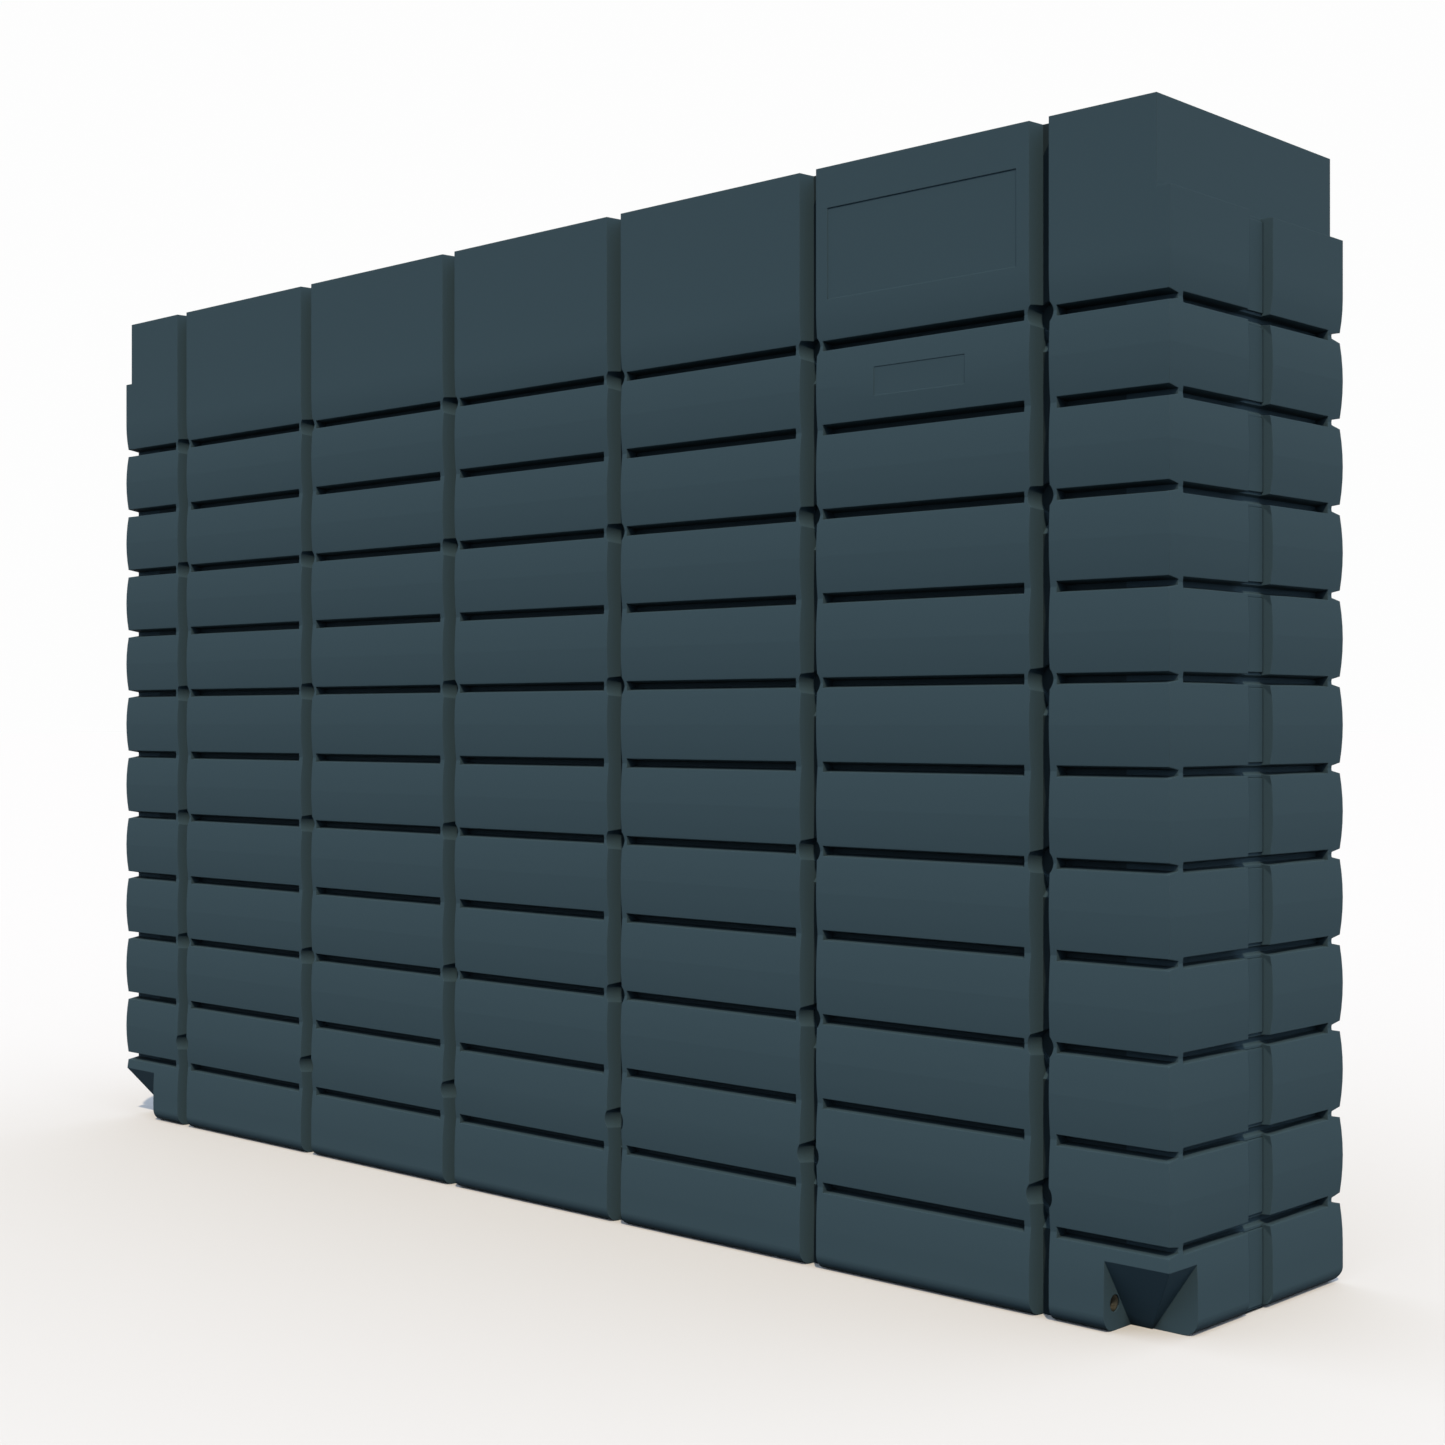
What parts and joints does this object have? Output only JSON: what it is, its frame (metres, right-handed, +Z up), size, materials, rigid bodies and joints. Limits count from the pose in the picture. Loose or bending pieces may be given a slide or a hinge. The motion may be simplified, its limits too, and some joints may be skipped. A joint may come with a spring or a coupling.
{
  "type": "slimline water tank",
  "caption": "Tall, narrow moulded rain water tank with ribbed sides, a strainer in its top, a screened overflow and threaded outlets in its bottom corners.",
  "frame": {"origin": "under the middle of the base, on the ground", "axes": "X along the tank towards the end that the picture shows, Y from the front face to the back, Z up"},
  "size_m": [3, 0.564, 1.968],
  "materials": {
    "tank_plastic": "fine matte, moulded",
    "strainer_plastic": "matte black",
    "mesh_metal": "woven stainless wire",
    "screw_steel": "stainless",
    "seal_rubber": "black",
    "outlet_brass": "machined",
    "plug_plastic": "matte black"
  },
  "bodies": {
    "root": {"tank_body": "tank_plastic", "strainer_frame": "strainer_plastic", "strainer_mesh": "mesh_metal", "mesh_ring": "strainer_plastic", "strainer_screws": "screw_steel", "light_guard": "strainer_plastic", "overflow_flange": "strainer_plastic", "overflow_gasket": "seal_rubber", "overflow_screen": "mesh_metal", "overflow_screen_ring": "strainer_plastic", "overflow_screws": "screw_steel", "outlet_insert_left": "outlet_brass", "outlet_insert_right": "outlet_brass", "outlet_plug": "plug_plastic"}
  },
  "joints": []
}
